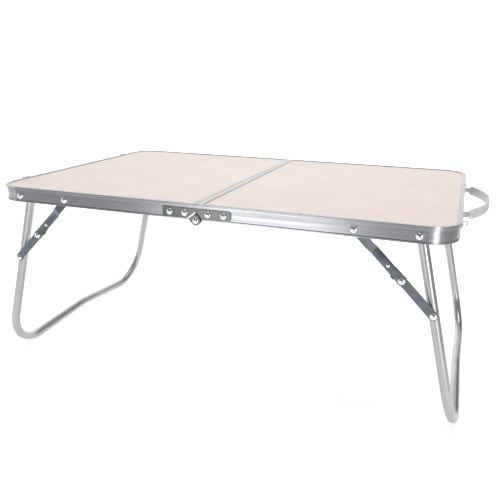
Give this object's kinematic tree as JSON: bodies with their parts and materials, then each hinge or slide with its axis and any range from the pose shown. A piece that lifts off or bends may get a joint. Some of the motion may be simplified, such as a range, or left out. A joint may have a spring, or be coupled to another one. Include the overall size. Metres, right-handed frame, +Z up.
{
  "type": "folding table",
  "caption": "Low folding case table: two aluminium-edged laminate halves hinged in the middle, bent tube legs with knee struts, strap handle.",
  "frame": {"origin": "on the floor under the middle of the top, where the seam between the halves crosses the table's centre line", "axes": "+X right along the length towards the handle, +Y back, +Z up"},
  "size_m": [0.655, 0.4064, 0.2601],
  "materials": {
    "rail_aluminium": "drawn satin",
    "tube_aluminium": "polished",
    "zinc_steel": "zinc plated",
    "bright_steel": "bright",
    "laminate": "satin laminate",
    "board_core": "fibreboard",
    "strap_aluminium": "ribbed satin"
  },
  "bodies": {
    "left_half": {"left_rail": "rail_aluminium", "left_board": "board_core", "left_laminate": "laminate", "left_edging": "rail_aluminium", "left_hinge_leaf_front": "zinc_steel", "left_hinge_leaf_rear": "zinc_steel", "left_hinge_rivets": "bright_steel", "hinge_pivot_front": "bright_steel", "hinge_pivot_rear": "bright_steel", "left_leg_bushes": "zinc_steel", "left_leg_pivots": "bright_steel", "left_strut_rail_rivet": "bright_steel", "latch_catches": "zinc_steel", "latch_catch_rivets": "bright_steel"},
    "right_half": {"right_rail": "rail_aluminium", "right_board": "board_core", "right_laminate": "laminate", "right_edging": "rail_aluminium", "right_hinge_leaf_front": "zinc_steel", "right_hinge_leaf_rear": "zinc_steel", "right_hinge_rivets": "bright_steel", "right_leg_bushes": "zinc_steel", "right_leg_pivots": "bright_steel", "right_strut_rail_rivet": "bright_steel", "handle_brackets": "zinc_steel", "handle_pins": "bright_steel", "handle_bracket_rivets": "bright_steel", "latch_stud_front": "bright_steel", "latch_stud_rear": "bright_steel"},
    "left_leg": {"left_leg": "tube_aluminium", "left_strut_tube_rivet": "bright_steel"},
    "right_leg": {"right_leg": "tube_aluminium", "right_strut_tube_rivet": "bright_steel"},
    "left_strut_upper": {"left_strut_upper": "zinc_steel", "left_strut_knee_rivet": "bright_steel"},
    "right_strut_upper": {"right_strut_upper": "zinc_steel", "right_strut_knee_rivet": "bright_steel"},
    "left_strut_lower": {"left_strut_lower": "zinc_steel", "left_strut_knee_tail": "zinc_steel"},
    "right_strut_lower": {"right_strut_lower": "zinc_steel", "right_strut_knee_tail": "zinc_steel"},
    "handle": {"handle_strap": "strap_aluminium"},
    "latch_front": {"latch_hook_front": "zinc_steel"},
    "latch_rear": {"latch_hook_rear": "zinc_steel"}
  },
  "joints": [
    {"name": "centre_fold", "type": "hinge", "parent": "left_half", "child": "right_half", "pos_m": [0, 0, 0.24], "axis": [0, 1, 0], "range_deg": [0, 100]},
    {"name": "left_leg_fold", "type": "hinge", "parent": "left_half", "child": "left_leg", "pos_m": [-0.2585, 0, 0.2482], "axis": [0, -1, 0], "range_deg": [0, 103.7]},
    {"name": "left_strut_upper_turn", "type": "hinge", "parent": "left_half", "child": "left_strut_upper", "pos_m": [-0.1885, -0.19, 0.2482], "axis": [0, -1, 0], "range_deg": [0, 135]},
    {"name": "left_strut_lower_turn", "type": "hinge", "parent": "left_leg", "child": "left_strut_lower", "pos_m": [-0.28112, -0.187, 0.15542], "axis": [0, -1, 0], "range_deg": [-148.8, 0]},
    {"name": "right_leg_fold", "type": "hinge", "parent": "right_half", "child": "right_leg", "pos_m": [0.2585, 0, 0.2482], "axis": [0, 1, 0], "range_deg": [0, 103.7]},
    {"name": "right_strut_upper_turn", "type": "hinge", "parent": "right_half", "child": "right_strut_upper", "pos_m": [0.1885, -0.19, 0.2482], "axis": [0, 1, 0], "range_deg": [0, 135]},
    {"name": "right_strut_lower_turn", "type": "hinge", "parent": "right_leg", "child": "right_strut_lower", "pos_m": [0.28112, -0.187, 0.15542], "axis": [0, 1, 0], "range_deg": [-148.8, 0]},
    {"name": "handle_swing", "type": "hinge", "parent": "right_half", "child": "handle", "pos_m": [0.305, 0, 0.25], "axis": [0, 1, 0], "range_deg": [-70, 75]},
    {"name": "latch_front_turn", "type": "hinge", "parent": "right_half", "child": "latch_front", "pos_m": [0.2996, -0.131, 0.247], "axis": [1, 0, 0], "range_deg": [0, 90]},
    {"name": "latch_rear_turn", "type": "hinge", "parent": "right_half", "child": "latch_rear", "pos_m": [0.2996, 0.131, 0.247], "axis": [-1, 0, 0], "range_deg": [0, 90]}
  ],
  "couplings": [
    {"joint": "left_strut_upper_turn", "follows": "left_leg_fold", "ratio": 1.3013},
    {"joint": "left_strut_lower_turn", "follows": "left_leg_fold", "ratio": -1.4344},
    {"joint": "right_strut_upper_turn", "follows": "right_leg_fold", "ratio": 1.3013},
    {"joint": "right_strut_lower_turn", "follows": "right_leg_fold", "ratio": -1.4344}
  ]
}
